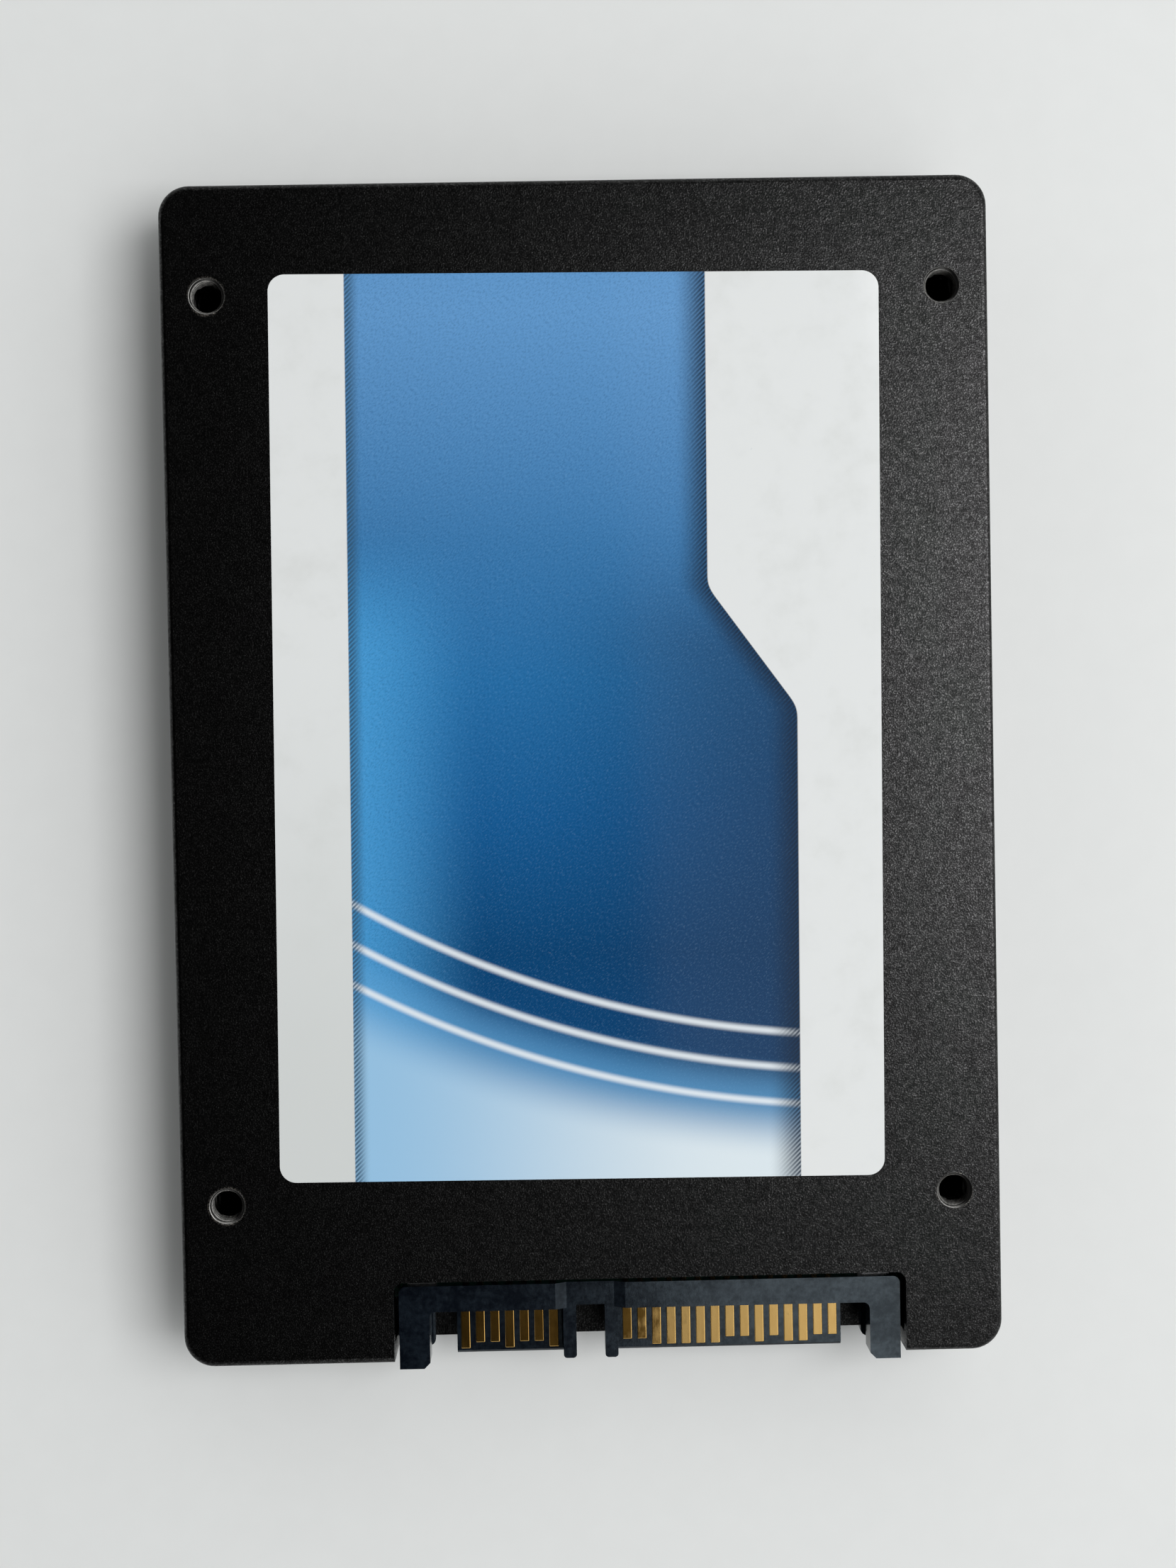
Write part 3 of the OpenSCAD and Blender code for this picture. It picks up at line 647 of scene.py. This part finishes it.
def plug_cylinder(radius, length):
    """Closed cylinder along -Z from z = 0, used only to cut other pieces."""
    mesh = bmesh.new()
    bmesh.ops.create_cone(mesh, cap_ends=True, segments=CUTTER_SEGMENTS,
                          radius1=radius, radius2=radius, depth=length)
    bmesh.ops.translate(mesh, verts=mesh.verts, vec=(0, 0, -length / 2))
    return mesh_object("cutter", mesh)


def cut_away(item, cutter):
    """Subtracts cutter from item and removes cutter."""
    modifier = item.modifiers.new("cut", "BOOLEAN")
    modifier.operation = "DIFFERENCE"
    modifier.solver = "EXACT"
    modifier.object = cutter
    bpy.context.view_layer.update()
    result = bpy.data.meshes.new_from_object(item.evaluated_get(bpy.context.evaluated_depsgraph_get()))
    item.modifiers.clear()
    item.data = result
    bpy.data.objects.remove(cutter)


def place_mesh(item, matrix):
    item.data.transform(matrix)
    return item


RIM_STEPS = 96
RIM_WIDTH = 0.03 * MM
RIM_LIFT = 0.012 * MM
RIM_ROOT = 0.1 * MM
RIM_WANDER = 0.03 * MM


def mouth_rim(name, radius, centre):
    """Ragged low ring where the coat has chipped around a hole's mouth."""
    mesh = bmesh.new()
    rings = []
    wander = 0.0
    for k in range(RIM_STEPS):
        wander = 0.8 * wander + random.uniform(-RIM_WANDER, RIM_WANDER)
        blendout = min(1.0, 4 * min(k, RIM_STEPS - k) / RIM_STEPS)
        edge = radius + RIM_WIDTH + abs(wander) * blendout
        angle = 2 * math.pi * k / RIM_STEPS
        direction = Vector((math.cos(angle), math.sin(angle), 0))
        profile = [(radius - 0.01 * MM, -RIM_ROOT), (radius, RIM_LIFT * 0.4),
                   (radius + RIM_WIDTH / 2, RIM_LIFT), (edge, 0.0), (edge, -RIM_ROOT / 2),
                   (radius + 0.01 * MM, -RIM_ROOT)]
        rings.append([mesh.verts.new(centre + direction * r + Vector((0, 0, z))) for r, z in profile])
    for k in range(RIM_STEPS):
        a, b = rings[k], rings[(k + 1) % RIM_STEPS]
        for j in range(len(a)):
            i = (j + 1) % len(a)
            mesh.faces.new((a[j], a[i], b[i], b[j]))
    bmesh.ops.recalc_face_normals(mesh, faces=mesh.faces)
    return mesh_object(name, mesh)


def pattern_centres(mount):
    """Hole centres of a bolt pattern mount, as points on its plane."""
    middle = Vector(mount["pos_m"])
    dims = mount["dims"]
    dx, dy = dims.get("spacing_x_mm", 0) * MM / 2, dims.get("spacing_y_mm", 0) * MM / 2
    if abs(mount["axis"][2]) > 0.5:
        return [middle + Vector((sx * dx, sy * dy, 0)) for sx in (-1, 1) for sy in (-1, 1)]
    return [middle + Vector((0, s * (dx or dy), 0)) for s in (-1, 1)]


def hole_depth(mouth, outward, radius):
    """Depth of a blind hole in the case, measured on the case mesh no further in than its middle."""
    near = 0.01 * MM
    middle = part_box("case_shell")[1].x
    deepest = 0.0
    for vertex in NODES["case_shell"].data.vertices:
        offset = NODES["case_shell"].matrix_world @ vertex.co - mouth
        along = -offset.dot(outward)
        off_axis = (offset + outward * along).length
        if abs(off_axis - radius) < near and deepest < along < middle:
            deepest = along
    return deepest


def finish_piece(item, material):
    """Gives a mesh piece its material and its body."""
    item.data.materials.clear()
    item.data.materials.append(material)
    item.data.shade_smooth()
    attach(item, "root")
    return item


def add_threads(metal, scraped):
    """Cut threads in the face holes and side holes, open where the two cross."""
    face = MOUNTS["face_holes"]
    radius = face["dims"]["hole_r_mm"] * MM
    face_centres = pattern_centres(face)
    side_places = []
    for mount_name in ("left_side_holes", "right_side_holes"):
        mount = MOUNTS[mount_name]
        out = Vector(mount["axis"])
        turn = out.to_track_quat("Z", "Y").to_matrix().to_4x4()
        side_places += [Matrix.Translation(c) @ turn for c in pattern_centres(mount)]
    face_places = [Matrix.Translation(c) for c in face_centres]
    reach = 0.4 * MM
    face_depth = hole_depth(face_centres[0], Vector(face["axis"]), radius)
    side_mouth = side_places[0]
    side_depth = hole_depth(side_mouth.translation, side_mouth.to_3x3() @ Vector((0, 0, 1)), radius)
    for number, at in enumerate(face_places, 1):
        sleeve = place_mesh(threaded_sleeve(f"face_hole_thread_{number}", radius, face_depth), at)
        across = min(side_places, key=lambda m: (m.translation - at.translation).length)
        cut_away(sleeve, place_mesh(plug_cylinder(radius, side_depth), across))
        finish_piece(sleeve, metal)
        finish_piece(mouth_rim(f"face_hole_rim_{number}", radius, at.translation), scraped)
    for number, at in enumerate(side_places, 1):
        sleeve = place_mesh(threaded_sleeve(f"side_hole_thread_{number}", radius, side_depth), at)
        above = min(face_places, key=lambda m: (m.translation - at.translation).length)
        lifted = Matrix.Translation((0, 0, reach)) @ above
        cut_away(sleeve, place_mesh(plug_cylinder(radius, face_depth + reach), lifted))
        finish_piece(sleeve, metal)


# ---------------------------------------------------------------- floor, light, camera

FLOOR_HALF = 1.5


def add_floor():
    mesh = bmesh.new()
    bmesh.ops.create_grid(mesh, x_segments=2, y_segments=2, size=FLOOR_HALF)
    floor = mesh_object("floor", mesh)
    material, tree, shader = new_material("floor_paint", specular=0.25)
    place = object_place(tree)
    mottle = noise(tree, place, 3 * MM, detail=4)
    feed(tree, shader.inputs["Base Color"],
         blend(tree, (0.76, 0.77, 0.765, 1), (0.79, 0.8, 0.795, 1), mottle))
    shader.inputs["Roughness"].default_value = 0.6
    floor.data.materials.append(material)


def square_light(name, place, target, side, power):
    """Soft square light at place that shines towards target."""
    data = bpy.data.lights.new(name, "AREA")
    data.size = side
    data.energy = power
    light = bpy.data.objects.new(name, data)
    light.location = place
    light.rotation_euler = (Vector(target) - Vector(place)).to_track_quat("-Z", "Y").to_euler()
    bpy.context.scene.collection.objects.link(light)


KEY_PLACE = (0.264, 0.035, 0.52)
KEY_SIDE = 0.3
KEY_POWER = 1.83

# The world's brightness by direction, as x, y and z of a unit vector. Pairs are where a smooth edge
# starts and ends. The wall's edge is in degrees from straight up.
WALL_TILT = 0.14
WALL_INNER = 42
WALL_OUTER = 62
WALL_LEVEL = 0.885
WALL_RISE_X = 0.26
WALL_RISE_Y = 0.12
CEILING_TILT = 0.035
CEILING_EDGE = (0.032, 0.045)
CEILING_LEVEL = 0.31
CEILING_RISE_X = 0.8
NEAR_EDGE = (0.06, 0.3)
NEAR_GAIN = 0.45
PANEL_EDGE_X = (0.047, 0.051)
PANEL_EDGE_Y = (0.02, 0.05)
PANEL_LEVEL = 0.07
WORLD_COLOUR = (0.985, 1.0, 0.995, 1)


def add_lights():
    """Walls brighter to the right, a ceiling lit only on the right, and a soft key light there."""
    square_light("key", KEY_PLACE, (0, 0, 0), KEY_SIDE, KEY_POWER)
    world = bpy.data.worlds.new("studio")
    world.use_nodes = True
    tree = world.node_tree
    x, y, z = split(tree, tree.nodes.new("ShaderNodeTexCoord").outputs["Generated"])
    outer, inner = (math.cos(math.radians(angle)) for angle in (WALL_OUTER, WALL_INNER))
    wall = 1 - smooth(z - x * WALL_TILT, outer, inner)
    walls = wall * (WALL_LEVEL + x * WALL_RISE_X + y * WALL_RISE_Y)
    across = x + y * CEILING_TILT
    near = 1 + smooth(-y, *NEAR_EDGE) * NEAR_GAIN
    ceiling = smooth(across, *CEILING_EDGE) * (1 - wall) * (CEILING_LEVEL + x * CEILING_RISE_X) * near
    panel = smooth(x, *PANEL_EDGE_X) * smooth(-y, *PANEL_EDGE_Y) * PANEL_LEVEL
    background = next(n for n in tree.nodes if n.type == "BACKGROUND")
    background.inputs["Color"].default_value = WORLD_COLOUR
    feed(tree, background.inputs["Strength"], walls + ceiling + panel)
    bpy.context.scene.world = world


CAMERA_ABOVE_FACE = 185.4 * MM
CAMERA_OFF_CENTRE = Vector((-2.6, 3.7)) * MM
# Turn away from looking straight down, as a rotation vector in degrees
CAMERA_TURN = Vector((-1.426, -0.921, -1.094))
CAMERA_LENS_MM = 50.45
CAMERA_SENSOR_MM = 36.0


def add_camera():
    """Camera nearly straight above the label, as hand held."""
    data = bpy.data.cameras.new("camera")
    data.sensor_fit = "VERTICAL"
    data.sensor_height = CAMERA_SENSOR_MM
    data.lens = CAMERA_LENS_MM
    data.clip_start = 0.01
    camera = bpy.data.objects.new("camera", data)
    face_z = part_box("case_shell")[1].z
    turn = Vector([math.radians(a) for a in CAMERA_TURN])
    camera.matrix_world = (
        Matrix.Translation((CAMERA_OFF_CENTRE.x, CAMERA_OFF_CENTRE.y, face_z + CAMERA_ABOVE_FACE))
        @ Matrix.Rotation(turn.length, 4, turn.normalized()))
    bpy.context.scene.collection.objects.link(camera)
    bpy.context.scene.camera = camera


# ---------------------------------------------------------------- the drive

def dress_nodes():
    coat = powder_coat("case_coat", 0.0009)
    # Painted shade: the back cover's coat is a darker copy of the case's, because the cover shows only in
    # shade under the connector
    shade_darkened_cover_coat = powder_coat("shade_darkened_cover_coat", 0.0007)
    finish_node("case_shell", coat, 0.06)
    finish_node("back_cover", shade_darkened_cover_coat, 0.06)
    finish_node("front_label", printed_label("printed_film"))
    finish_node("back_label", plain_back_label("printed_paper"))
    finish_node("connector_housing", connector_plastic("connector_moulding"), 0.07)
    finish_node("signal_contacts", gold("rubbed_gold", 0.8, 0.15, 1.0), 0.1, segments=3)
    finish_node("power_contacts", gold("bright_gold", 0.1, 0.2, 0.6), 0.1, segments=3)
    finish_node("case_screws", tinned_metal("black_steel", 0.12, 0.3), 0.03)
    tin = tinned_metal("tinned_steel", 0.75, 0.25)
    finish_node("board_screws", tin, 0.03)
    finish_node("connector_hold_downs", tin, 0.03)
    finish_node("clock_crystal", tin, 0.05)
    finish_node("circuit_board", solder_mask("board_lacquer"), 0.05)
    chip = moulded("chip_body", (0.022, 0.022, 0.024), 0.5)
    flash = moulded("flash_body", (0.018, 0.018, 0.02), 0.55)
    for name in ("controller_chip", "cache_memory_chip", "firmware_chip", "voltage_regulator_1",
                 "voltage_regulator_2", "surge_diode"):
        finish_node(name, chip, 0.05)
    for name in sorted(NODES):
        if name.startswith("flash_chip_"):
            finish_node(name, flash, 0.05)
    pad = moulded("silicone_pad", (0.3, 0.36, 0.42), 0.7, grain_mm=0.4)
    finish_node("controller_thermal_pad", pad, 0.1)
    finish_node("flash_thermal_pad", pad, 0.1)
    ferrite = moulded("ferrite_body", (0.05, 0.05, 0.052), 0.45)
    finish_node("power_inductor_1", ferrite, 0.08)
    finish_node("power_inductor_2", ferrite, 0.08)
    finish_node("input_fuse", moulded("fuse_body", (0.7, 0.7, 0.65), 0.4), 0.05)
    tantalum = moulded("tantalum_body", (0.62, 0.38, 0.05), 0.4)
    finish_node("bulk_capacitor_1", tantalum, 0.08)
    finish_node("bulk_capacitor_2", tantalum, 0.08)
    finish_node("ceramic_capacitors", moulded("capacitor_body", (0.38, 0.25, 0.14), 0.4), 0.04)
    finish_node("chip_resistors", moulded("resistor_body", (0.03, 0.03, 0.035), 0.3), 0.03)


dress_nodes()
add_threads(cut_thread("cut_alloy"), scraped_coat("scraped_mouth"))
add_floor()
add_lights()
add_camera()
bpy.context.scene.view_settings.view_transform = "Standard"
